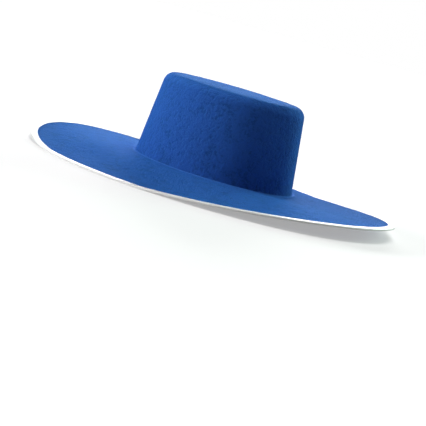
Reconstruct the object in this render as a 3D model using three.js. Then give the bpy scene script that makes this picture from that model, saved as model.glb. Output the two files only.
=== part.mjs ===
// Wide-brimmed felt hat with a flat-topped crown and a ribbon-bound edge, at its real size.
// Millimetres, +Z up. The wearer's front is towards -X, and the origin is on the surface
// that the hat rests on, under the middle of the crown.
//
// The felt is one blocked piece: a round profile is turned on the hat's axis, then drawn out
// to the oval of a head, and its brim is given the wave that it has seen from the side.
// The ribbon is folded over the brim's edge and follows the same oval and the same wave.

import * as THREE from "three";

// Crown, measured on its outside
const crownLength = 206; // front to back, where it meets the brim
const crownWidth = 171; // side to side, at the same place
const crownHeight = 103; // from the brim to the flat top
const crownLean = 6.6; // degrees that the wall leans in on every side
const crownEdgeRadius = 13; // rounding between the wall and the top
const topDome = 1.5; // how far the middle of the top stands above its rim

// Felt
const feltWall = 1.8; // thickness of the felt, in the crown and in the brim
const creaseRadius = 1.2; // fillet in the crease between the crown and the brim

// Brim: the heights are those of its edge, from the level of the crease
const brimWidth = 130; // from the crease to the outside of the ribbon, the same all round
const frontDrop = 2; // the front edge hangs this far below the crease, and the back edge is level with it
const sideDrop = 16.7; // each side would hang this far below it if nothing carried the hat
const foreSag = 1.2; // how much the brim gives in front of the sides, and stands higher behind them
const restPress = 1.4; // how far each side is pressed up where it rests, which makes it flat
const levelMargin = 1.5; // the brim runs level from this far inside the ribbon to its edge

// Ribbon that binds the edge
const ribbonWall = 1; // thickness of the ribbon
const ribbonWidth = 8.5; // what shows of it on each face of the brim
const seatGap = 0.3; // clearance between the ribbon and the felt

// Fineness of the facets
const turnSegments = 96; // round the hat, a multiple of 4 so that the sides have a corner line
const roundSegments = 5; // along the crown's rounded edge
const foldSegments = 4; // along the brim's rounded edge and the ribbon's fold
const creaseSegments = 2; // along the crease
const brimRings = 7; // across the brim's slope
const topRings = 3; // across the flat top

// The round profile has the mean of the oval's half length and half width as its radius.
const crownRadius = (crownLength + crownWidth) / 4;
const ovalOffset = (crownLength - crownWidth) / 4;
const brimRadius = crownRadius + brimWidth;
const foldRadius = feltWall / 2 + seatGap + ribbonWall;
const foldCentre = brimRadius - foldRadius;
const ribbonInner = brimRadius - ribbonWidth;
const levelRadius = ribbonInner - levelMargin;

// The wall leaves the crease's fillet, leans in, and meets the rounding of the top's edge.
const lean = THREE.MathUtils.degToRad(crownLean);
const quarterTurn = Math.PI / 2;
const creaseCentre = crownRadius + creaseRadius;
const roundHeight = crownHeight - crownEdgeRadius;
const wallFoot = crownRadius + creaseRadius * (1 - Math.cos(lean));
const wallFootHeight = creaseRadius * (1 - Math.sin(lean));
const wallRise = roundHeight + crownEdgeRadius * Math.sin(lean) - wallFootHeight;
const topRadius = wallFoot - wallRise * Math.tan(lean) - crownEdgeRadius * Math.cos(lean);

// The ribbon's underside at the sides is the lowest place, and it lies on the surface.
const restLevel = restPress - sideDrop;
const lift = feltWall + seatGap + ribbonWall - restLevel;

// Points on an arc about (centre, height), from one angle to another, as radius and height.
function arc(centre, height, radius, from, to, segments) {
  const points = [];
  for (let i = 0; i <= segments; i += 1) {
    const angle = from + ((to - from) * i) / segments;
    points.push(new THREE.Vector2(centre + radius * Math.cos(angle), height + radius * Math.sin(angle)));
  }
  return points;
}

// The flat top seen from the side, from its middle to its rim, lowered by depth.
function topLine(depth) {
  const points = [];
  for (let i = 0; i < topRings; i += 1) {
    const share = i / topRings;
    points.push(new THREE.Vector2(topRadius * share, crownHeight - depth + topDome * (1 - share * share)));
  }
  return points;
}

// Level points across the brim from the crease to the edge, at one height.
function brimLine(height) {
  const start = creaseCentre;
  const points = [];
  for (let i = 1; i <= brimRings; i += 1) {
    points.push(new THREE.Vector2(start + ((levelRadius - start) * i) / brimRings, height));
  }
  return points;
}

// The felt's face at a depth below its outer face: top, rounding, wall, crease and brim.
function feltFace(depth) {
  return [
    ...topLine(depth),
    ...arc(topRadius, roundHeight, crownEdgeRadius - depth, quarterTurn, lean, roundSegments),
    ...arc(creaseCentre, creaseRadius, creaseRadius + depth, Math.PI + lean, 3 * quarterTurn, creaseSegments),
    ...brimLine(-depth),
  ];
}

// The felt's whole section: its outer face, its rounded edge, and its inner face back to the axis.
function feltSection() {
  const edge = arc(foldCentre, -feltWall / 2, feltWall / 2, quarterTurn, -quarterTurn, foldSegments);
  return [...feltFace(0), ...edge, ...feltFace(feltWall).reverse()];
}

// The ribbon's section: a strip folded round the felt's edge, closed on itself.
function ribbonSection() {
  const middle = -feltWall / 2;
  const outside = arc(foldCentre, middle, foldRadius, quarterTurn, -quarterTurn, foldSegments);
  const inside = arc(foldCentre, middle, foldRadius - ribbonWall, -quarterTurn, quarterTurn, foldSegments);
  const upper = middle + foldRadius;
  const lower = middle - foldRadius;
  return [
    new THREE.Vector2(ribbonInner, upper),
    ...outside,
    new THREE.Vector2(ribbonInner, lower),
    new THREE.Vector2(ribbonInner, lower + ribbonWall),
    ...inside,
    new THREE.Vector2(ribbonInner, upper - ribbonWall),
    new THREE.Vector2(ribbonInner, upper),
  ];
}

// Height of the brim's edge at an angle from the back: low at the sides, higher front and back.
function edgeHeight(angle) {
  const tilt = frontDrop / 2;
  const swing = (sideDrop - tilt) * Math.cos(angle) ** 2 + tilt * Math.cos(angle);
  const sag = foreSag * (Math.cos(angle) - Math.cos(3 * angle));
  return Math.max(swing + sag - sideDrop, restLevel);
}

// Share of the edge's height that the brim has at a radius: none at the crease, all at the edge.
function waveShare(radius) {
  const across = (radius - creaseCentre) / (levelRadius - creaseCentre);
  return THREE.MathUtils.smoothstep(across, 0, 1);
}

// Turns a section on the hat's axis and draws the round result out to the oval and the wave.
// The section is traced backwards, from the inner face to the outer one, so that its faces point out.
function turnOnHat(section) {
  const geometry = new THREE.LatheGeometry(section.toReversed(), turnSegments);
  const position = geometry.getAttribute("position");
  for (let i = 0; i < position.count; i += 1) {
    const radius = Math.hypot(position.getX(i), position.getZ(i));
    const angle = Math.atan2(position.getX(i), position.getZ(i));
    const height = position.getY(i) + edgeHeight(angle) * waveShare(radius);
    const offset = ovalOffset * Math.min(radius / topRadius, 1);
    const x = (radius + offset) * Math.cos(angle);
    const y = (radius - offset) * Math.sin(angle);
    position.setXYZ(i, x, y, height + lift);
  }
  geometry.computeVertexNormals();
  return geometry;
}

// One named piece of the hat.
function piece(name, section, color, roughness) {
  const material = new THREE.MeshStandardMaterial({ color, roughness, metalness: 0 });
  const mesh = new THREE.Mesh(turnOnHat(section), material);
  mesh.name = name;
  return mesh;
}

const hat = new THREE.Group();
hat.add(piece("crown_and_brim", feltSection(), 0x2458ac, 0.95));
hat.add(piece("edge_binding", ribbonSection(), 0xf2f2f0, 0.8));

export default hat;
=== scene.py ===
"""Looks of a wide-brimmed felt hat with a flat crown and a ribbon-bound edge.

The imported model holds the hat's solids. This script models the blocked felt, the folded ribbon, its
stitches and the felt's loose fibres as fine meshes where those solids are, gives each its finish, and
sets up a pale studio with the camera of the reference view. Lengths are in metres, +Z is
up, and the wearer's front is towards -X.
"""

import logging
import math
from dataclasses import dataclass, field
from enum import Enum

import bpy
import numpy as np
from mathutils import Matrix, Vector, noise


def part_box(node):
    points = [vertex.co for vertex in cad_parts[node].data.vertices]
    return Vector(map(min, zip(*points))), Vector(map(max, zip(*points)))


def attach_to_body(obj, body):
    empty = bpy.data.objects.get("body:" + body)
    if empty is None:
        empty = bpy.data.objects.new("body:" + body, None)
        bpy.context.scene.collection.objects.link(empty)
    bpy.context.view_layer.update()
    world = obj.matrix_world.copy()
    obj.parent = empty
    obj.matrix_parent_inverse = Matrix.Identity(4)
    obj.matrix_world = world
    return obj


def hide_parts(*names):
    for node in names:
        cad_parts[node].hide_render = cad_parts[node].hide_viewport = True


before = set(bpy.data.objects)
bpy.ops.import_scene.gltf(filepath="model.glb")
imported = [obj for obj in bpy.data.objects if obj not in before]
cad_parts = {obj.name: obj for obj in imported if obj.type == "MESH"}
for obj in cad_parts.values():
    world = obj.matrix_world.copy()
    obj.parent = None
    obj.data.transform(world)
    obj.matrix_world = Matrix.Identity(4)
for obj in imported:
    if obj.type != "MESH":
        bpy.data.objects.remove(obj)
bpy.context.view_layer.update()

log = logging.getLogger("hat")

MM = 0.001
FULL_TURN = 2 * math.pi
QUARTER_TURN = math.pi / 2
BODY = "root"
# name of the felt's point attribute that carries the painted highlight along the welt's ridge
WELT_HIGHLIGHT = "Wear"
CLOTH = "Cloth"
WHITE = (1, 1, 1, 1)
SOCKETS = {float: "NodeSocketFloat", int: "NodeSocketInt", bpy.types.Material: "NodeSocketMaterial"}


class Node(str, Enum):
    """The CAD nodes that the fine pieces stand for."""

    FELT = "crown_and_brim"
    BINDING = "edge_binding"


class Slot(str, Enum):
    """The record's material slots."""

    FELT = "felt"
    RIBBON = "ribbon"


class Face(Enum):
    """The two faces of the brim, by the sign of their height."""

    UPPER = 1
    UNDER = -1


def arc(centre: float, height: float, radius: float, start: float, end: float, count: int) -> np.ndarray:
    """Points on an arc of a section.

    Args:
        centre: Distance of the arc's centre from the hat's axis.
        height: Height of the arc's centre.
        radius: Radius of the arc.
        start: Angle of the first point, from the outward direction, in radians.
        end: Angle of the last point.
        count: Number of steps.

    Returns:
        An array of (radius, height) rows, both ends included.
    """
    angle = np.linspace(start, end, count + 1)
    return np.stack([centre + radius * np.cos(angle), height + radius * np.sin(angle)], axis=1)


def run(start: tuple[float, float], end: tuple[float, float], count: int) -> np.ndarray:
    """Evenly spaced section points between two ends, with neither end included.

    Args:
        start: (radius, height) where the run begins.
        end: (radius, height) where it stops.
        count: Number of steps.

    Returns:
        An array of (radius, height) rows.
    """
    share = np.arange(1, count)[:, None] / count
    return np.array(start) * (1 - share) + np.array(end) * share


def round_hat(count: int) -> np.ndarray:
    """Angles of evenly spaced points round the hat, from its back, in radians."""
    return np.arange(count) * FULL_TURN / count


def smooth(value: np.ndarray) -> np.ndarray:
    """The smooth step of a value between 0 and 1, which is level at both ends."""
    held = np.clip(value, 0.0, 1.0)
    return held * held * (3 - 2 * held)


@dataclass(frozen=True)
class HatForm:
    """Sizes of the hat and the rule that draws a round section out to its oval and its wave."""

    brim_radius: float
    oval: float
    brim_width: float = 130 * MM
    crown_height: float = 103 * MM
    crown_lean: float = math.radians(6.6)
    crown_edge: float = 13 * MM
    top_dome: float = 1.5 * MM
    felt: float = 1.8 * MM
    crease: float = 1.2 * MM
    front_drop: float = 2.0 * MM
    side_drop: float = 16.7 * MM
    fore_sag: float = 1.2 * MM
    rest_press: float = 1.4 * MM
    bound_felt: float = 1.4 * MM
    ribbon: float = 0.5 * MM
    ribbon_width: float = 8.5 * MM
    ribbon_seat: float = 0.08 * MM
    level_margin: float = 1.5 * MM

    @classmethod
    def from_frame(cls) -> "HatForm":
        """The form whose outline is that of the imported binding, which holds the hat's length and width."""
        low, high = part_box(Node.BINDING.value)
        length = high[0] - low[0]
        width = high[1] - low[1]
        return cls(brim_radius=(length + width) / 4, oval=(length - width) / 4)

    @property
    def crown_radius(self) -> float:
        """Mean radius of the crown's outside at the crease."""
        return self.brim_radius - self.brim_width

    @property
    def middle(self) -> float:
        """Height of the bound edge's middle, from the brim's upper face."""
        return -self.bound_felt / 2

    @property
    def fold_radius(self) -> float:
        """Outer radius of the ribbon's fold round the brim's edge."""
        return self.bound_felt / 2 + self.ribbon_seat + self.ribbon

    @property
    def fold_centre(self) -> float:
        """Distance of the fold's centre from the axis."""
        return self.brim_radius - self.fold_radius

    @property
    def ribbon_inner(self) -> float:
        """Distance of the ribbon's inner edges from the axis."""
        return self.brim_radius - self.ribbon_width

    @property
    def level_radius(self) -> float:
        """Where the brim's slope ends and its level, bound edge begins."""
        return self.ribbon_inner - self.level_margin

    @property
    def crease_centre(self) -> float:
        """Distance of the crease fillet's centre from the axis."""
        return self.crown_radius + self.crease

    @property
    def top_radius(self) -> float:
        """Mean radius of the flat top, where its rounded edge begins."""
        foot = self.crown_radius + self.crease * (1 - math.cos(self.crown_lean))
        foot_height = self.crease * (1 - math.sin(self.crown_lean))
        rise = self.crown_height - self.crown_edge + self.crown_edge * math.sin(self.crown_lean) - foot_height
        return foot - rise * math.tan(self.crown_lean) - self.crown_edge * math.cos(self.crown_lean)

    @property
    def lift(self) -> float:
        """Height of the crease above the surface, with the ribbon's underside resting at the sides."""
        below = self.bound_felt + self.ribbon_seat + self.ribbon
        return below + self.side_drop - self.rest_press

    def edge_height(self, angle: np.ndarray) -> np.ndarray:
        """Height of the brim's edge above the crease.

        Args:
            angle: Angle round the hat from its back, in radians.

        Returns:
            The height at each angle, low and pressed flat at the sides.
        """
        tilt = self.front_drop / 2
        swing = (self.side_drop - tilt) * np.cos(angle) ** 2 + tilt * np.cos(angle)
        sag = self.fore_sag * (np.cos(angle) - np.cos(3 * angle))
        return np.maximum(swing + sag - self.side_drop, self.rest_press - self.side_drop)

    def wave_share(self, radius: np.ndarray) -> np.ndarray:
        """Share of the edge's height that the brim has at a radius."""
        return smooth((radius - self.crease_centre) / (self.level_radius - self.crease_centre))

    def place(self, radius: np.ndarray, height: np.ndarray, angle: np.ndarray) -> np.ndarray:
        """Puts points of the round section where they lie on the hat.

        Args:
            radius: Distance from the axis in the round section.
            height: Height above the crease in the section.
            angle: Angle round the hat from its back, in radians.

        Returns:
            An array of x, y, z in the row frame, with the inputs' shape before its last axis.
        """
        offset = self.oval * np.minimum(radius / self.top_radius, 1.0)
        x = (radius + offset) * np.cos(angle)
        y = (radius - offset) * np.sin(angle)
        z = height + self.edge_height(angle) * self.wave_share(radius) + self.lift
        return np.stack(np.broadcast_arrays(x, y, z), axis=-1)


@dataclass
class RingMesh:
    """A closed skin laid through rings of points, as a turned and drawn-out section gives."""

    name: str
    points: np.ndarray
    closed_section: bool
    across: np.ndarray | None = None
    along: np.ndarray | None = None

    def build(self) -> bpy.types.Object:
        """Makes the mesh object, with a UV map where the section gives one.

        Returns:
            The new object, linked to the scene, with its place in its mesh.
        """
        rings, count, _ = self.points.shape
        index = np.arange(rings * count).reshape(rings, count)
        lower = index if self.closed_section else index[:-1]
        upper = np.roll(index, -1, axis=0) if self.closed_section else index[1:]
        quads = np.stack([lower, upper, np.roll(upper, -1, axis=1), np.roll(lower, -1, axis=1)], axis=-1)
        faces = quads.reshape(-1, 4).tolist()
        vertices = self.points.reshape(-1, 3).tolist()
        if not self.closed_section:
            faces, vertices = self._close_poles(faces, vertices, index)
        mesh = bpy.data.meshes.new(self.name)
        mesh.from_pydata(vertices, [], faces)
        mesh.shade_smooth()
        piece = bpy.data.objects.new(self.name, mesh)
        bpy.context.scene.collection.objects.link(piece)
        if self.across is not None and self.along is not None:
            self._map(mesh, rings, count)
        return piece

    def _close_poles(self, faces: list, vertices: list, index: np.ndarray) -> tuple[list, list]:
        """Fans the first and last ring to a middle point each.

        Args:
            faces: Faces made so far.
            vertices: Points made so far.
            index: Point numbers by ring and turn.

        Returns:
            The faces and the points with both fans added.
        """
        for ring, backwards in ((index[0], False), (index[-1], True)):
            middle = len(vertices)
            vertices.append(np.mean([vertices[i] for i in ring], axis=0).tolist())
            following = np.roll(ring, -1)
            for here, there in zip(ring.tolist(), following.tolist()):
                faces.append((middle, there, here) if backwards else (middle, here, there))
        return faces, vertices

    def _map(self, mesh: bpy.types.Mesh, rings: int, count: int) -> None:
        """Lays a UV map in metres: U along the turn, V across the section.

        Args:
            mesh: The mesh to map.
            rings: Number of section points.
            count: Number of points round each ring.
        """
        layer = mesh.uv_layers.new(name=CLOTH)
        step = self.along[1] - self.along[0]
        width = self.across[1] - self.across[0]
        corners = np.empty((rings * count, 4, 2))
        section, turn = np.divmod(np.arange(rings * count), count)
        for corner, (up, on) in enumerate(((0, 0), (1, 0), (1, 1), (0, 1))):
            corners[:, corner, 0] = self.along[turn] + on * step
            row = np.minimum(section + up, rings)
            corners[:, corner, 1] = np.append(self.across, self.across[-1] + width)[row]
        layer.data.foreach_set("uv", corners.reshape(-1))


class Wiring:
    """Short calls that add, set and link the nodes of one tree."""

    tree: bpy.types.NodeTree

    def feed(self, socket: bpy.types.NodeSocket, value: object) -> None:
        """Links a socket, or sets its value."""
        if isinstance(value, bpy.types.NodeSocket):
            self.tree.links.new(value, socket)
        else:
            socket.default_value = value

    def add(self, kind: str, inputs: dict | None = None, **settings: object) -> bpy.types.Node:
        """Adds a node.

        Args:
            kind: The node's type name.
            inputs: Values, or sockets to link, by input name.
            settings: Attributes of the node itself.

        Returns:
            The new node.
        """
        made = self.tree.nodes.new(kind)
        for key, value in settings.items():
            setattr(made, key, value)
        for key, value in (inputs or {}).items():
            self.feed(next(socket for socket in made.inputs if socket.name == key and socket.enabled), value)
        return made

    def math(self, kind: str, first: object, second: object = 0.0) -> bpy.types.NodeSocket:
        """The result of a named operation on one or two numbers or sockets."""
        made = self.add("ShaderNodeMath", operation=kind)
        self.feed(made.inputs[0], first)
        self.feed(made.inputs[1], second)
        return made.outputs[0]


@dataclass(frozen=True)
class Grain:
    """A noise of a finish: the size of its features, its octaves, their weight and its tangling."""

    size: float
    detail: float = 2.0
    rough: float = 0.5
    twist: float = 0.0


@dataclass
class Shading(Wiring):
    """A material's node tree with short calls for the nodes that the finishes share."""

    name: str
    strand_turns: tuple = ((0.3, 0.5, 0.2), (1.2, -0.4, 1.5), (-0.8, 1.1, 2.6))
    strand_draw: float = 0.22
    strand_twist: float = 1.2
    strand_edge: float = 0.16
    material: bpy.types.Material = field(init=False)

    def __post_init__(self) -> None:
        """Makes the material with only its output and its main shader."""
        self.material = bpy.data.materials.new(self.name)
        self.material.use_nodes = True
        self.tree = self.material.node_tree
        self.shader = self.tree.nodes["Principled BSDF"]

    def place(self) -> bpy.types.NodeSocket:
        """The point on the piece, in the row frame's metres."""
        return self.add("ShaderNodeTexCoord").outputs["Object"]

    def cloth(self) -> bpy.types.NodeSocket:
        """The piece's own UV map, in metres along and across the cloth."""
        return self.add("ShaderNodeUVMap", uv_map=CLOTH).outputs["UV"]

    def wear(self) -> bpy.types.NodeSocket:
        """How much painted highlight the point has along the welt's ridge, from the piece's own attribute."""
        return self.add("ShaderNodeAttribute", attribute_name=WELT_HIGHLIGHT).outputs["Fac"]

    def grain(self, where: object, kind: Grain) -> bpy.types.NodeSocket:
        """Noise between 0 and 1 at a socket's points."""
        values = {"Vector": where, "Scale": 1 / kind.size, "Detail": kind.detail}
        values |= {"Roughness": kind.rough, "Distortion": kind.twist}
        return self.add("ShaderNodeTexNoise", values).outputs["Fac"]

    def strands(self, where: object, size: float) -> bpy.types.NodeSocket:
        """Tangled strands, from thin ridges of noise drawn out along three crossing directions.

        Args:
            where: Socket with the point.
            size: Width of a strand in metres.

        Returns:
            A value that is high along the strands.
        """
        total = 0.0
        for turn in self.strand_turns:
            values = {"Vector": where, "Rotation": turn, "Scale": (1.0, 1.0, self.strand_draw)}
            drawn = self.add("ShaderNodeMapping", values).outputs["Vector"]
            grain = self.grain(drawn, Grain(size, detail=1.0, twist=self.strand_twist))
            ridge = self.math("ABSOLUTE", self.math("SUBTRACT", grain, 0.5))
            total = self.math("MAXIMUM", total, self.spread(ridge, 0.0, self.strand_edge, 1.0, 0.0))
        return total

    def blend(self, *parts: tuple[object, float]) -> bpy.types.NodeSocket:
        """The sum of sockets, each given with its share."""
        total = 0.0
        for value, share in parts:
            total = self.math("ADD", total, self.math("MULTIPLY", value, share))
        return total

    def wave(self, distance: object, length: float) -> bpy.types.NodeSocket:
        """Even ridges between 0 and 1, a length apart along a distance."""
        turn = self.math("MULTIPLY", distance, FULL_TURN / length)
        return self.spread(self.math("SINE", turn), -1.0, 1.0, 0.0, 1.0)

    def spread(
        self, value: object, low: float, high: float, to_low: float, to_high: float
    ) -> bpy.types.NodeSocket:
        """Maps a value's range to another, held at its ends."""
        ends = {"From Min": low, "From Max": high, "To Min": to_low, "To Max": to_high}
        return self.add("ShaderNodeMapRange", {"Value": value, **ends}).outputs["Result"]

    def tint(self, share: object, first: object, second: object) -> bpy.types.NodeSocket:
        """Mixes two colours by a share."""
        made = self.add("ShaderNodeMix", data_type="RGBA")
        self.feed(made.inputs["Factor"], share)
        self.feed(made.inputs[6], first)
        self.feed(made.inputs[7], second)
        return made.outputs[2]

    def bump(
        self, height: object, depth: float, strength: float = 1.0, over: object = None
    ) -> bpy.types.NodeSocket:
        """A bump of a depth in metres, over another where one is given."""
        inputs = {"Height": height, "Distance": depth, "Strength": strength}
        if over is not None:
            inputs["Normal"] = over
        return self.add("ShaderNodeBump", inputs).outputs["Normal"]


@dataclass(frozen=True)
class Finish:
    """What every finish settles: its roughness, its shine, and the glow of the fibres on it."""

    roughness: float = 0.5
    specular: float = 0.5
    sheen: float = 0.0
    sheen_roughness: float = 0.5
    haze: tuple = WHITE

    def dress(self, shading: Shading, inputs: dict[str, object]) -> bpy.types.Material:
        """Sets the main shader from the finish's own values and from the inputs given.

        Args:
            shading: The material under construction.
            inputs: Values or sockets by the shader's input names, which go before the finish's own.

        Returns:
            The finished material.
        """
        own = {
            "Roughness": self.roughness,
            "Specular IOR Level": self.specular,
            "Sheen Weight": self.sheen,
            "Sheen Roughness": self.sheen_roughness,
            "Sheen Tint": self.haze,
        }
        for name, value in (own | inputs).items():
            shading.feed(shading.shader.inputs[name], value)
        return shading.material


@dataclass(frozen=True)
class FeltFinish(Finish):
    """Matte blocked wool felt, cobalt blue, with a short tangled nap and faint clouds of colour."""

    specular: float = 0.02
    sheen: float = 0.76
    sheen_roughness: float = 0.75
    haze: tuple = (0.075, 0.340, 1.0, 1)
    deep: tuple = (0.0064, 0.0300, 0.172, 1)
    light: tuple = (0.0152, 0.0590, 0.316, 1)
    # colour of the painted highlight along the welt's ridge at the crown's foot
    painted_highlight: tuple = (0.060, 0.180, 0.600, 1)
    clouds: Grain = Grain(24 * MM)
    mottle: Grain = Grain(9.0 * MM, 3.0, 0.6, 0.3)
    tangle: Grain = Grain(2.9 * MM, 3.0, 0.6, 0.4)
    blotch: Grain = Grain(11 * MM, 3.0, 0.65, 0.5)
    fibre: float = 0.55 * MM
    cloud_share: float = 0.18
    mottle_share: float = 0.36
    tangle_share: float = 0.50
    hair_share: float = 0.12
    hair_middle: float = 0.35
    blotch_share: float = 0.75
    contrast: float = 0.042
    brim_top: float = 21 * MM
    brim_blend: float = 4 * MM
    # range that the tangle is spread over for the painted highlight's share
    highlight_spread: tuple = (0.3, 0.55, 0.4, 1.0)
    rough_range: tuple = (0.3, 0.7, 0.82, 0.98)
    nap_depth: float = 1.85 * MM
    mottle_relief: float = 1.1
    hair_depth: float = 0.16 * MM
    hair_strength: float = 0.7

    def material(self) -> bpy.types.Material:
        """Builds the felt's material."""
        shading = Shading("felt_nap")
        place = shading.place()
        mottle = shading.grain(place, self.mottle)
        tangle = shading.grain(place, self.tangle)
        hair = shading.strands(place, self.fibre)
        mixed = shading.blend(
            (shading.grain(place, self.clouds), self.cloud_share),
            (mottle, self.mottle_share),
            (tangle, self.tangle_share),
            (hair, self.hair_share),
            (self._blotches(shading, place), self.blotch_share),
        )
        middle = (self.cloud_share + self.mottle_share + self.tangle_share) / 2
        middle += self.hair_share * self.hair_middle
        share = shading.spread(mixed, middle - self.contrast, middle + self.contrast, 0.0, 1.0)
        colour = shading.tint(share, self.deep, self.light)
        # painted highlight: a paler blue along the welt's ridge, broken up by the tangle
        highlight_share = shading.math("MULTIPLY", shading.wear(), shading.spread(tangle, *self.highlight_spread))
        nap = shading.bump(shading.blend((tangle, 1.0), (mottle, self.mottle_relief)), self.nap_depth)
        inputs = {
            "Base Color": shading.tint(highlight_share, colour, self.painted_highlight),
            "Roughness": shading.spread(tangle, *self.rough_range),
            "Normal": shading.bump(hair, self.hair_depth, self.hair_strength, nap),
        }
        return self.dress(shading, inputs)

    def _blotches(self, shading: Shading, place: object) -> bpy.types.NodeSocket:
        """Blotches about zero that only the brim has."""
        height = shading.add("ShaderNodeSeparateXYZ", {"Vector": place}).outputs["Z"]
        on_brim = shading.spread(height, self.brim_top, self.brim_top + self.brim_blend, 1.0, 0.0)
        about_zero = shading.math("SUBTRACT", shading.grain(place, self.blotch), 0.5)
        return shading.math("MULTIPLY", about_zero, on_brim)


@dataclass(frozen=True)
class FibreFinish(Finish):
    """Single wool fibres, a little paler than the felt that they stand on."""

    roughness: float = 0.8
    specular: float = 0.05
    sheen: float = 0.3
    sheen_roughness: float = 0.35
    haze: tuple = (0.07, 0.38, 1.0, 1)
    colour: tuple = (0.026, 0.105, 0.390, 1)

    def material(self) -> bpy.types.Material:
        """Builds the fibres' material."""
        return self.dress(Shading("wool_fibre"), {"Base Color": self.colour})


@dataclass(frozen=True)
class RibbonFinish(Finish):
    """White ribbon with fine ribs across its length, painted shade in their grooves and a slightly warm,
    uneven dye.
    """

    sheen: float = 0.8
    pale: tuple = (0.97, 0.97, 0.96, 1)
    shaded: tuple = (0.89, 0.89, 0.88, 1)
    rib: float = 0.62 * MM
    rib_depth: float = 0.09 * MM
    rib_strength: float = 0.6
    thread: float = 0.16 * MM
    thread_height: float = 0.15
    dye: Grain = Grain(6 * MM, 3.0)
    # share of the painted shade in the grooves between the ribs
    groove_shade_share: float = 0.6
    dye_share: float = 0.25

    def material(self) -> bpy.types.Material:
        """Builds the ribbon's material."""
        shading = Shading("ribbed_ribbon")
        cloth = shading.add("ShaderNodeSeparateXYZ", {"Vector": shading.cloth()}).outputs
        ridge = shading.wave(cloth["X"], self.rib)
        weave = shading.wave(cloth["Y"], self.thread)
        height = shading.blend((ridge, 1.0), (weave, self.thread_height))
        # painted shade: the grooves between the ribs are mixed towards the shaded white, with the dye's
        # uneven tone on top
        groove_shade = shading.math("SUBTRACT", 1.0, ridge)
        uneven = shading.grain(shading.place(), self.dye)
        share = shading.blend((groove_shade, self.groove_shade_share), (uneven, self.dye_share))
        inputs = {
            "Base Color": shading.tint(share, self.pale, self.shaded),
            "Normal": shading.bump(height, self.rib_depth, self.rib_strength),
        }
        return self.dress(shading, inputs)


@dataclass(frozen=True)
class ThreadFinish(Finish):
    """White sewing thread with its twist."""

    roughness: float = 0.55
    pale: tuple = (0.86, 0.86, 0.84, 1)
    shaded: tuple = (0.74, 0.74, 0.73, 1)
    ply: Grain = Grain(0.4 * MM, twist=1.0)
    ply_depth: float = 0.05 * MM
    ply_strength: float = 0.5

    def material(self) -> bpy.types.Material:
        """Builds the thread's material."""
        shading = Shading("sewing_thread")
        ply = shading.grain(shading.place(), self.ply)
        inputs = {
            "Base Color": shading.tint(ply, self.pale, self.shaded),
            "Normal": shading.bump(ply, self.ply_depth, self.ply_strength),
        }
        return self.dress(shading, inputs)


def attach(
    piece: bpy.types.Object, material: bpy.types.Material, node: Node | None = None
) -> None:
    """Dresses a piece and ties it to the frame.

    Args:
        piece: The finished object.
        material: Its finish.
        node: The CAD node that it stands for, if it replaces one.
    """
    piece.data.materials.clear()
    piece.data.materials.append(material)
    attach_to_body(piece, BODY)
    if node is not None:
        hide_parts(node.value)
    log.info("%s: %d faces, %s finish", piece.name, len(piece.data.polygons), material.name)


@dataclass(frozen=True)
class Steps:
    """How finely each part of the felt's section is divided."""

    top: int
    edge: int
    wall: int
    crease: int
    welt: int
    brim: int


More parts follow.
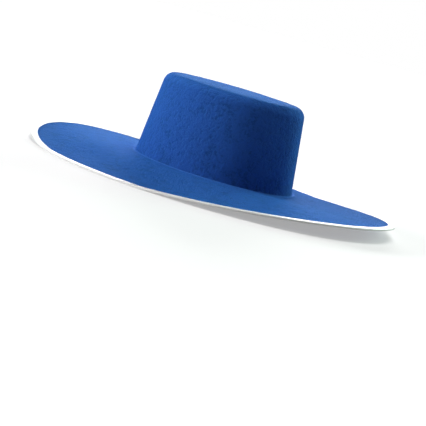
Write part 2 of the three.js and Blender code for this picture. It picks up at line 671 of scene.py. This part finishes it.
@dataclass
class BlockedFelt:
    """The felt crown and brim, blocked in one piece, as one closed wall."""

    form: HatForm
    turn_steps: int = 480
    outer_steps: Steps = Steps(top=22, edge=11, wall=26, crease=6, welt=12, brim=34)
    inner_steps: Steps = Steps(top=7, edge=6, wall=9, crease=4, welt=2, brim=22)
    margin_steps: int = 5
    hidden_steps: int = 4
    waver: float = 0.45 * MM
    waver_size: float = 75 * MM
    dapple: float = 0.15 * MM
    brim_dapple: float = 0.55 * MM
    dapple_size: float = 11 * MM
    welt_rise: float = 0.65 * MM
    welt_width: float = 0.9 * MM
    welt_place: float = 1.4  # in welt widths from the crease
    welt_reach: float = 5.0  # in welt widths, where the brim's finer rings end
    # how the painted highlight fades away from the welt's ridge
    highlight_fade: float = 0.4
    still_margin: float = 20 * MM
    brim_start: float = 3 * MM
    brim_blend: float = 12 * MM

    def face(self, depth: float, steps: Steps) -> np.ndarray:
        """The section of one face, from the middle of the top to the start of the bound edge.

        Args:
            depth: How far the face lies below the outer one.
            steps: How finely it is divided.

        Returns:
            (radius, height) rows from the middle of the top outwards.
        """
        form = self.form
        share = np.arange(1, steps.top)[:, None] / steps.top
        dome = form.crown_height - depth + form.top_dome * (1 - share**2)
        top = np.hstack([form.top_radius * share, dome])
        round_height = form.crown_height - form.crown_edge
        edge_radius = form.crown_edge - depth
        edge = arc(form.top_radius, round_height, edge_radius, QUARTER_TURN, form.crown_lean, steps.edge)
        start = 2 * QUARTER_TURN + form.crown_lean
        crease_radius = form.crease + depth
        crease = arc(form.crease_centre, form.crease, crease_radius, start, 3 * QUARTER_TURN, steps.crease)
        wall = run(tuple(edge[-1]), tuple(crease[0]), steps.wall)
        beyond = form.crease_centre + self.welt_reach * self.welt_width
        welt = run((form.crease_centre, -depth), (beyond, -depth), steps.welt)
        brim = run((beyond, -depth), (form.level_radius, -depth), steps.brim)
        return np.vstack([top, edge, wall, crease, welt, [[beyond, -depth]], brim])

    def section(self) -> tuple[np.ndarray, int]:
        """The whole section, from the middle of the top to the middle of the hollow's ceiling.

        Returns:
            The (radius, height) rows, and how many of them are on the outer face.
        """
        form = self.form
        upper = np.array([[form.level_radius, 0.0]])
        outer = np.vstack([self.face(0.0, self.outer_steps), upper])
        centre = (form.fold_centre, form.middle)
        edge = arc(*centre, -form.middle, QUARTER_TURN, -QUARTER_TURN, self.hidden_steps)
        top_margin = run((form.level_radius, 0.0), tuple(edge[0]), self.margin_steps)
        low_margin = run(tuple(edge[-1]), (form.level_radius, -form.felt), self.margin_steps)
        low_margin[:, 1] = -form.bound_felt - (form.felt - form.bound_felt) * self._pinch(low_margin[:, 0])
        lower = np.array([[form.level_radius, -form.felt]])
        inner = self.face(form.felt, self.inner_steps)[::-1]
        return np.vstack([outer, top_margin, edge, low_margin, lower, inner]), len(outer)

    def _pinch(self, radius: np.ndarray) -> np.ndarray:
        """How much of the felt's fullness is left under the ribbon: none in the fold, all inside it."""
        form = self.form
        return smooth((form.ribbon_inner - radius) / form.level_margin)

    def _welt(self, section: np.ndarray, count: int) -> np.ndarray:
        """The low welt that blocking leaves round the foot of the crown.

        Args:
            section: The section's rows.
            count: How many of them are on the outer face.

        Returns:
            The share of the welt's rise that each row has.
        """
        centre = self.form.crease_centre + self.welt_place * self.welt_width
        rise = np.exp(-(((section[:, 0] - centre) / self.welt_width) ** 2))
        on_brim = np.abs(section[:, 1]) < self.form.felt / 2
        on_brim[count:] = False
        return rise * on_brim

    def _unevenness(self, points: np.ndarray, on_brim: np.ndarray) -> np.ndarray:
        """Slight waver and dapple of hand-blocked felt, with more dapple on the brim.

        Args:
            points: The points of the rings.
            on_brim: How far each ring belongs to the brim, from 0 to 1.

        Returns:
            How far each point moves outwards, in metres.
        """
        flat = points.reshape(-1, 3).tolist()
        broad = np.array([noise.noise(Vector(point) / self.waver_size) for point in flat])
        fine = np.array([noise.noise(Vector(point) / self.dapple_size) for point in flat])
        dapple = self.dapple + (self.brim_dapple - self.dapple) * on_brim
        return self.waver * broad.reshape(points.shape[:2]) + dapple * fine.reshape(points.shape[:2])

    def build(self, finish: FeltFinish) -> bpy.types.Object:
        """Builds and dresses the felt.

        Args:
            finish: Its finish.

        Returns:
            The felt's object.
        """
        form = self.form
        section, outer_count = self.section()
        angle = round_hat(self.turn_steps)
        radius = section[:, :1]
        welt = self._welt(section, outer_count)
        height = section[:, 1:] + self.welt_rise * welt[:, None]
        points = form.place(radius, height, angle[None, :])
        free = 1 - smooth((radius - form.level_radius + self.still_margin) / self.still_margin)
        on_brim = smooth((radius - form.crease_centre - self.brim_start) / self.brim_blend)
        move = self._unevenness(points, on_brim) * free
        on_crown = section[:, 1:] > form.crease
        slope = smooth((radius - form.top_radius) / (form.crown_edge * 2)) * on_crown
        points[..., 0] += move * slope * np.cos(angle)
        points[..., 1] += move * slope * np.sin(angle)
        points[..., 2] += move * (1 - slope)
        piece = RingMesh("blocked_felt", points, closed_section=False).build()
        # the welt's rise, kept as a point attribute that the felt's painted highlight follows
        painted_highlight = np.zeros(len(piece.data.vertices))
        painted_highlight[: welt.size * self.turn_steps] = np.repeat(welt**self.highlight_fade, self.turn_steps)
        piece.data.attributes.new(WELT_HIGHLIGHT, "FLOAT", "POINT").data.foreach_set("value", painted_highlight)
        attach(piece, finish.material(), Node.FELT)
        return piece


@dataclass
class EdgeRibbon:
    """The ribbon folded over the brim's edge, drawn down a little at each stitch."""

    form: HatForm
    pitch: float = 3.0 * MM
    steps_per_stitch: int = 4
    flange_steps: int = 7
    fold_steps: int = 8
    lip_steps: int = 4
    stitch_inset: float = 1.4 * MM
    pull: float = 0.10 * MM
    pull_reach: float = 1.2 * MM
    waver: float = 0.16 * MM
    waver_reach: float = 3 * MM
    waver_circle: float = 8.0  # radius and height of the circle that the waver is read from
    waver_level: float = 3.0

    @property
    def stitch_count(self) -> int:
        """Number of stitches round the hat."""
        return round(FULL_TURN * self.stitch_radius / self.pitch)

    @property
    def stitch_radius(self) -> float:
        """Distance of the stitches from the axis in the round section."""
        return self.form.ribbon_inner + self.stitch_inset

    def strip(self, radius: float, inward: bool) -> np.ndarray:
        """One face of the folded strip.

        Args:
            radius: Radius of its fold.
            inward: True for the face against the felt, which runs the other way.

        Returns:
            (radius, height) rows across the face.
        """
        form = self.form
        fold = arc(form.fold_centre, form.middle, radius, QUARTER_TURN, -QUARTER_TURN, self.fold_steps)
        start = (form.ribbon_inner, form.middle + radius)
        end = (form.ribbon_inner, form.middle - radius)
        upper = run(start, tuple(fold[0]), self.flange_steps)
        under = run(tuple(fold[-1]), end, self.flange_steps)
        face = np.vstack([upper, fold, under])
        return face[::-1] if inward else face

    def lip(self, upper: bool) -> np.ndarray:
        """The rounded selvedge where the strip's two faces meet."""
        form = self.form
        half = form.ribbon / 2
        reach = form.fold_radius - half
        centre = form.middle + (reach if upper else -reach)
        return arc(form.ribbon_inner, centre, half, 3 * QUARTER_TURN, QUARTER_TURN, self.lip_steps)

    def build(self, finish: RibbonFinish) -> bpy.types.Object:
        """Builds and dresses the ribbon.

        Args:
            finish: Its finish.

        Returns:
            The ribbon's object.
        """
        form = self.form
        outside = self.strip(form.fold_radius, inward=False)
        inside = self.strip(form.fold_radius - form.ribbon, inward=True)
        section = np.vstack([self.lip(upper=True), outside, self.lip(upper=False), inside])
        angle = round_hat(self.stitch_count * self.steps_per_stitch)
        length = np.cumsum(np.r_[0.0, np.linalg.norm(np.diff(section, axis=0), axis=1)])
        radius = section[:, :1] + self._wander(section, angle)
        height = section[:, 1:] - self._pull(section, angle)
        points = form.place(radius, height, angle[None, :])
        along = angle * self.stitch_radius
        skin = RingMesh("folded_ribbon", points, closed_section=True, across=length, along=along)
        piece = skin.build()
        attach(piece, finish.material(), Node.BINDING)
        return piece

    def _wander(self, section: np.ndarray, angle: np.ndarray) -> np.ndarray:
        """Slight waver of the ribbon's inner edges, none at the fold."""
        near_edge = 1 - smooth((section[:, 0] - self.form.ribbon_inner) / self.waver_reach)
        circle = [(self.waver_circle * math.cos(a), self.waver_circle * math.sin(a)) for a in angle]
        wave = [noise.noise(Vector((x, y, self.waver_level))) for x, y in circle]
        return self.waver * near_edge[:, None] * np.array(wave)[None, :]

    def _pull(self, section: np.ndarray, angle: np.ndarray) -> np.ndarray:
        """How far each stitch draws the ribbon's outer faces towards the felt."""
        side = np.sign(section[:, 1] - self.form.middle)
        reach = np.exp(-(((section[:, 0] - self.stitch_radius) / self.pull_reach) ** 2))
        hole = (1 + np.cos(angle * self.stitch_count)) / 2
        return self.pull * (side * reach)[:, None] * hole[None, :]


@dataclass
class Stitching:
    """The rows of stitches that hold the ribbon, one on each face of the brim."""

    form: HatForm
    ribbon: EdgeRibbon
    length: float = 2.3 * MM
    thickness: float = 0.42 * MM
    sunk: float = 0.13 * MM
    least_height: float = 0.31 * MM  # keeps the stitches above what the hat lies on
    lean: float = 0.06
    sides: int = 6
    rings: int = 5
    path_steps: int = 1200
    seed: int = 7

    def path(self, face: Face) -> bpy.types.Object:
        """A closed line of edges along the stitches of one face.

        Args:
            face: The brim's face.

        Returns:
            The path's object, which isn't linked to the scene.
        """
        form = self.form
        height = form.middle + face.value * (form.fold_radius - self.sunk)
        points = form.place(np.array(self.ribbon.stitch_radius), np.array(height), round_hat(self.path_steps))
        points[:, 2] = np.maximum(points[:, 2], self.least_height)
        following = np.roll(np.arange(self.path_steps), -1)
        edges = list(zip(range(self.path_steps), following.tolist()))
        mesh = bpy.data.meshes.new("stitch_path")
        mesh.from_pydata(points.tolist(), edges, [])
        return bpy.data.objects.new("stitches_" + face.name.lower(), mesh)

    def work(self, material: bpy.types.Material) -> "NodeWork":
        """Geometry Nodes that lay stitches along a line of edges.

        Args:
            material: The thread's material.

        Returns:
            The node tree with its values.
        """
        values = {"Count": self.ribbon.stitch_count, "Length": self.length, "Thickness": self.thickness}
        values |= {"Seed": self.seed, "Material": material}
        nodes = NodeWork("stitch_row", values)
        path, count, length, thickness, seed, material = nodes.given()
        curve = nodes.add("GeometryNodeMeshToCurve", {"Mesh": path}).outputs["Curve"]
        points = nodes.add("GeometryNodeResampleCurve", {"Curve": curve, "Count": count}).outputs["Curve"]
        ball = {"Segments": self.sides, "Rings": self.rings, "Radius": 0.5}
        bead = nodes.add("GeometryNodeMeshUVSphere", ball).outputs["Mesh"]
        tangent = nodes.add("GeometryNodeInputTangent").outputs["Tangent"]
        turn = nodes.add("FunctionNodeAlignRotationToVector", {"Vector": tangent}, axis="X")
        tilt = {"Rotation": turn.outputs["Rotation"], "Rotate By": nodes.lean(self.lean, seed)}
        turned = nodes.add("FunctionNodeRotateRotation", tilt).outputs["Rotation"]
        nodes.finish(points, bead, turned, (length, thickness, thickness), material)
        return nodes

    def build(self, finish: ThreadFinish) -> list[bpy.types.Object]:
        """Builds and dresses both rows.

        Args:
            finish: The thread's finish.

        Returns:
            The two rows' objects.
        """
        material = finish.material()
        work = self.work(material)
        rows = [work.applied(self.path(face)) for face in Face]
        for row in rows:
            attach(row, material)
        return rows


@dataclass
class LooseFibres:
    """Short curved wool fibres that stand off the felt's outer faces."""

    form: HatForm
    count: int = 18500
    shortest: float = 1.1 * MM
    longest: float = 3.0 * MM
    thickness: float = 0.075 * MM
    curl: float = 0.7 * MM
    clear: float = 0.8 * MM
    flattest: float = math.radians(84)
    steepest: float = math.radians(48)
    least_upward: float = 0.5  # upward share of the normals that a fibre may stand on
    most_downward: float = -0.3
    sides: int = 3
    side_steps: int = 2
    seed: int = 23

    def ground(self, felt: bpy.types.Object) -> bpy.types.Object:
        """A copy of the felt without what the ribbon covers and what the hollow hides.

        Args:
            felt: The felt's object.

        Returns:
            The copy, which isn't linked to the scene.
        """
        quads = [face for face in felt.data.polygons if len(face.vertices) == 4]
        corners = np.array([list(face.vertices) for face in quads])
        points = np.array([vertex.co for vertex in felt.data.vertices])
        middle = points[corners].mean(axis=1)
        normal = np.array([face.normal for face in quads])
        x, y = middle[:, 0], middle[:, 1]
        brim = self.form.ribbon_inner + self.form.oval * np.cos(2 * np.arctan2(y, x))
        reach = np.hypot(x, y)
        outward = np.sum(normal[:, :2] * middle[:, :2], axis=1) > 0
        upright = outward & (normal[:, 2] > self.most_downward)
        bare = (reach < brim - self.clear) & ((normal[:, 2] > self.least_upward) | upright)
        used, index = np.unique(corners[bare], return_inverse=True)
        copy = bpy.data.meshes.new("bare_felt")
        copy.from_pydata(points[used].tolist(), [], index.reshape(-1, 4).tolist())
        return bpy.data.objects.new("loose_fibres", copy)

    def work(self, density: float, material: bpy.types.Material) -> "NodeWork":
        """Geometry Nodes that scatter leaning fibres over a surface.

        Args:
            density: Number of fibres for each square metre.
            material: The fibres' material.

        Returns:
            The node tree with its values.
        """
        values = {"Density": density, "Shortest": self.shortest, "Longest": self.longest}
        values |= {"Thickness": self.thickness, "Curl": self.curl, "Flattest": self.flattest}
        values |= {"Steepest": self.steepest, "Seed": self.seed, "Material": material}
        nodes = NodeWork("fibre_scatter", values)
        surface, density, shortest, longest, thickness, curl, *rest = nodes.given()
        flattest, steepest, seed, material = rest
        scatter = {"Mesh": surface, "Density": density, "Seed": seed}
        points = nodes.add("GeometryNodeDistributePointsOnFaces", scatter)
        spike = {"Vertices": self.sides, "Side Segments": self.side_steps}
        spike |= {"Radius Top": 0.0, "Radius Bottom": 0.5, "Depth": 1.0}
        fibre = nodes.add("GeometryNodeMeshCone", spike).outputs["Mesh"]
        place = nodes.add("GeometryNodeInputPosition").outputs["Position"]
        height = nodes.add("ShaderNodeSeparateXYZ", {"Vector": place}).outputs["Z"]
        square = nodes.math("MULTIPLY", height, height)
        push = nodes.math("MULTIPLY", square, nodes.math("DIVIDE", curl, thickness))
        bent = {"Geometry": fibre, "Offset": nodes.vector(push, 0.0, 0.0)}
        fibre = nodes.add("GeometryNodeSetPosition", bent).outputs["Geometry"]
        lean = nodes.number(steepest, flattest, seed)
        turn = nodes.number(0.0, FULL_TURN, seed, 3)
        bend = nodes.add("FunctionNodeEulerToRotation", {"Euler": nodes.vector(lean, 0.0, turn)})
        leaning = {"Rotation": points.outputs["Rotation"], "Rotate By": bend.outputs["Rotation"]}
        turned = nodes.add("FunctionNodeRotateRotation", leaning, rotation_space="LOCAL").outputs["Rotation"]
        length = nodes.number(shortest, longest, seed, 5)
        nodes.finish(points.outputs["Points"], fibre, turned, (thickness, thickness, length), material)
        return nodes

    def build(self, felt: bpy.types.Object, finish: FibreFinish) -> bpy.types.Object:
        """Builds and dresses the fibres.

        Args:
            felt: The felt's object.
            finish: The fibres' finish.

        Returns:
            The fibres' object.
        """
        ground = self.ground(felt)
        area = sum(face.area for face in ground.data.polygons)
        material = finish.material()
        fibres = self.work(self.count / area, material).applied(ground)
        attach(fibres, material)
        return fibres


@dataclass
class NodeWork(Wiring):
    """A Geometry Nodes tree under construction, with a named input for each of its values."""

    name: str
    values: dict[str, object]

    def __post_init__(self) -> None:
        """Makes the tree with its geometry in and out, and an input for each value."""
        self.tree = bpy.data.node_groups.new(self.name, "GeometryNodeTree")
        for way in ("OUTPUT", "INPUT"):
            self.tree.interface.new_socket("Geometry", in_out=way, socket_type="NodeSocketGeometry")
        for name, value in self.values.items():
            self.tree.interface.new_socket(name, in_out="INPUT", socket_type=SOCKETS[type(value)])
        self.source = self.tree.nodes.new("NodeGroupInput")
        self.sink = self.tree.nodes.new("NodeGroupOutput")

    def given(self) -> list[bpy.types.NodeSocket]:
        """The sockets inside the tree of the geometry and of each value, in the values' order."""
        return [self.source.outputs[name] for name in ("Geometry", *self.values)]

    def vector(self, x: object, y: object, z: object) -> bpy.types.NodeSocket:
        """A vector of three numbers or sockets."""
        return self.add("ShaderNodeCombineXYZ", {"X": x, "Y": y, "Z": z}).outputs["Vector"]

    def lean(self, most: float, seed: object) -> bpy.types.NodeSocket:
        """A small random turn about each axis for each point, in radians."""
        ends = {"Min": (-most, -most, -most), "Max": (most, most, most), "Seed": seed}
        return self.add("FunctionNodeRandomValue", ends, data_type="FLOAT_VECTOR").outputs["Value"]

    def number(self, low: object, high: object, seed: object, draw: int = 1) -> bpy.types.NodeSocket:
        """A random number for each point.

        Args:
            low: Lowest value, or its socket.
            high: Highest value, or its socket.
            seed: Socket that fixes the draws.
            draw: Which of the tree's draws this is.

        Returns:
            The number's socket.
        """
        own = self.math("ADD", seed, draw)
        made = self.add("FunctionNodeRandomValue", {"Min": low, "Max": high, "Seed": own})
        return made.outputs[1]

    def finish(self, points: object, shape: object, turn: object, size: tuple, material: object) -> None:
        """Ends the tree in real, smooth copies of a shape at its points.

        Args:
            points: Socket with the points.
            shape: Socket with the shape, which is 1 long, wide and high.
            turn: Socket with each copy's rotation.
            size: Length, width and height of each copy, or their sockets.
            material: Socket with the material.
        """
        placed = {"Points": points, "Instance": shape, "Rotation": turn, "Scale": self.vector(*size)}
        copies = self.add("GeometryNodeInstanceOnPoints", placed).outputs["Instances"]
        real = self.add("GeometryNodeRealizeInstances", {"Geometry": copies}).outputs["Geometry"]
        smooth_faces = self.add("GeometryNodeSetShadeSmooth", {"Geometry": real}).outputs["Geometry"]
        dressed = self.add("GeometryNodeSetMaterial", {"Geometry": smooth_faces, "Material": material})
        self.tree.links.new(dressed.outputs["Geometry"], self.sink.inputs["Geometry"])

    def applied(self, source: bpy.types.Object) -> bpy.types.Object:
        """Runs the tree on an object and keeps its result as a plain mesh.

        Args:
            source: The object that the tree starts from, which isn't in the scene yet.

        Returns:
            The object, whose mesh is now the result and which has no modifier left.
        """
        bpy.context.scene.collection.objects.link(source)
        modifier = source.modifiers.new("Nodes", "NODES")
        modifier.node_group = self.tree
        for item in self.tree.interface.items_tree:
            if item.item_type == "SOCKET" and item.in_out == "INPUT" and item.name in self.values:
                modifier[item.identifier] = self.values[item.name]
        evaluated = source.evaluated_get(bpy.context.evaluated_depsgraph_get())
        mesh = bpy.data.meshes.new_from_object(evaluated)
        source.modifiers.clear()
        source.data = mesh
        mesh.name = source.name
        return source


@dataclass(frozen=True)
class Wash:
    """One wide, soft light, placed by its direction from the hat.

    The azimuth is 0 on the camera's side and grows towards the picture's right. The level is the
    brightness that a white surface facing the light would have.
    """

    name: str
    azimuth: float
    elevation: float
    level: float
    width: float = 25
    colour: tuple = (1, 1, 1)

    def direction(self, camera: "ReferenceCamera") -> Vector:
        """The way from the hat to the light.

        Args:
            camera: The camera, whose sides the azimuth is counted from.

        Returns:
            A unit vector.
        """
        turn = math.radians(self.azimuth)
        rise = math.radians(self.elevation)
        back = camera.back()
        front = Vector((back.x, back.y, 0)).normalized()
        level = front * math.cos(turn) + camera.level_right() * math.sin(turn)
        return level * math.cos(rise) + Vector((0, 0, math.sin(rise)))

    def build(self, camera: "ReferenceCamera") -> None:
        """Makes the light.

        Args:
            camera: The camera that the light is placed against.
        """
        data = bpy.data.lights.new(self.name, "SUN")
        data.energy = math.pi * self.level
        data.color = self.colour
        data.angle = math.radians(self.width)
        light = bpy.data.objects.new(self.name, data)
        light.rotation_mode = "QUATERNION"
        light.rotation_quaternion = self.direction(camera).to_track_quat("Z", "Y")
        bpy.context.scene.collection.objects.link(light)


@dataclass
class Studio:
    """A pale floor that stays white, and soft light from the left and from behind."""

    floor_radius: float = 9.0
    floor_colour: tuple = (0.78, 0.78, 0.78, 1)
    floor_glow: float = 0.38
    floor_finish: Finish = Finish(roughness=0.9, specular=0.0)
    floor_sides: int = 64
    fill: float = 0.01
    washes: tuple = (
        Wash("left_wash", -84, 8, 1.05),
        Wash("rear_wash", 180, 7, 1.50),
        Wash("rear_right_wash", 145, 12, 0.62, colour=(0.70, 1.0, 0.82)),
        Wash("overhead_wash", 0, 90, 0.43, width=40),
    )

    def build(self, camera: "ReferenceCamera") -> None:
        """Makes the floor, the surround and the lights.

        Args:
            camera: The camera, whose sides say where the light comes from.
        """
        self._floor()
        self._surround()
        for wash in self.washes:
            wash.build(camera)
        log.info("studio: %d soft lights over a pale floor", len(self.washes))

    def _floor(self) -> None:
        """A flat round floor at the height that the hat rests on."""
        size = {"vertices": self.floor_sides, "radius": self.floor_radius}
        bpy.ops.mesh.primitive_circle_add(fill_type="NGON", **size)
        floor = bpy.context.object
        floor.name = "studio_floor"
        shading = Shading("pale_floor")
        seen = shading.add("ShaderNodeLightPath").outputs["Is Camera Ray"]
        glow = shading.math("MULTIPLY", seen, self.floor_glow)
        inputs = {"Base Color": self.floor_colour, "Emission Color": WHITE, "Emission Strength": glow}
        floor.data.materials.append(self.floor_finish.dress(shading, inputs))

    def _surround(self) -> None:
        """White to look at, and faint as a light."""
        world = bpy.data.worlds.new("white_surround")
        bpy.context.scene.world = world
        world.use_nodes = True
        world.node_tree.nodes.clear()
        wiring = Wiring()
        wiring.tree = world.node_tree
        lit = wiring.add("ShaderNodeBackground", {"Color": WHITE, "Strength": self.fill})
        seen = wiring.add("ShaderNodeBackground", {"Color": WHITE, "Strength": 1.0})
        mixed = wiring.add("ShaderNodeMixShader")
        output = wiring.add("ShaderNodeOutputWorld")
        rays = wiring.add("ShaderNodeLightPath").outputs["Is Camera Ray"]
        for socket, value in zip(mixed.inputs, (rays, lit.outputs[0], seen.outputs[0])):
            wiring.feed(socket, value)
        wiring.feed(output.inputs["Surface"], mixed.outputs[0])


@dataclass(frozen=True)
class ReferenceCamera:
    """The camera of the reference view, fitted to the hat's outline in a square frame."""

    azimuth: float = math.radians(30.764)
    elevation: float = math.radians(8.069)
    roll: float = math.radians(15.581)
    distance: float = 1.9218
    aim: tuple = (0.01535, 0.0, -0.03102)
    focal_pixels: float = 1578.8
    frame_pixels: float = 426
    sensor: float = 36.0
    far_end: float = 100

    def back(self) -> Vector:
        """The direction from the aimed point to the camera."""
        flat = Vector((math.sin(self.azimuth), -math.cos(self.azimuth), 0))
        return flat * math.cos(self.elevation) + Vector((0, 0, math.sin(self.elevation)))

    def level_right(self) -> Vector:
        """The level direction to the camera's right, before its roll."""
        return Vector((math.cos(self.azimuth), math.sin(self.azimuth), 0))

    def build(self) -> bpy.types.Object:
        """Makes the camera and makes it the scene's own.

        Returns:
            The camera object.
        """
        back = self.back()
        right = self.level_right()
        up = back.cross(right)
        cosine, sine = math.cos(self.roll), math.sin(self.roll)
        picture_right = right * cosine + up * sine
        picture_up = up * cosine - right * sine
        data = bpy.data.cameras.new("reference_camera")
        data.sensor_width = self.sensor
        data.lens = self.focal_pixels / self.frame_pixels * self.sensor
        data.clip_end = self.far_end
        camera = bpy.data.objects.new("reference_camera", data)
        turn = Matrix((picture_right, picture_up, back)).transposed()
        camera.matrix_world = Matrix.Translation(Vector(self.aim) + back * self.distance) @ turn.to_4x4()
        bpy.context.scene.collection.objects.link(camera)
        bpy.context.scene.camera = camera
        return camera


def main() -> None:
    """Builds the hat, then its studio."""
    logging.basicConfig(level=logging.INFO, format="%(name)s: %(message)s")
    bpy.context.scene.view_settings.view_transform = "Standard"
    form = HatForm.from_frame()
    camera = ReferenceCamera()
    camera.build()
    felt = BlockedFelt(form).build(FeltFinish())
    LooseFibres(form).build(felt, FibreFinish())
    ribbon = EdgeRibbon(form)
    ribbon.build(RibbonFinish())
    Stitching(form, ribbon).build(ThreadFinish())
    Studio().build(camera)


if __name__ == "__main__":
    main()
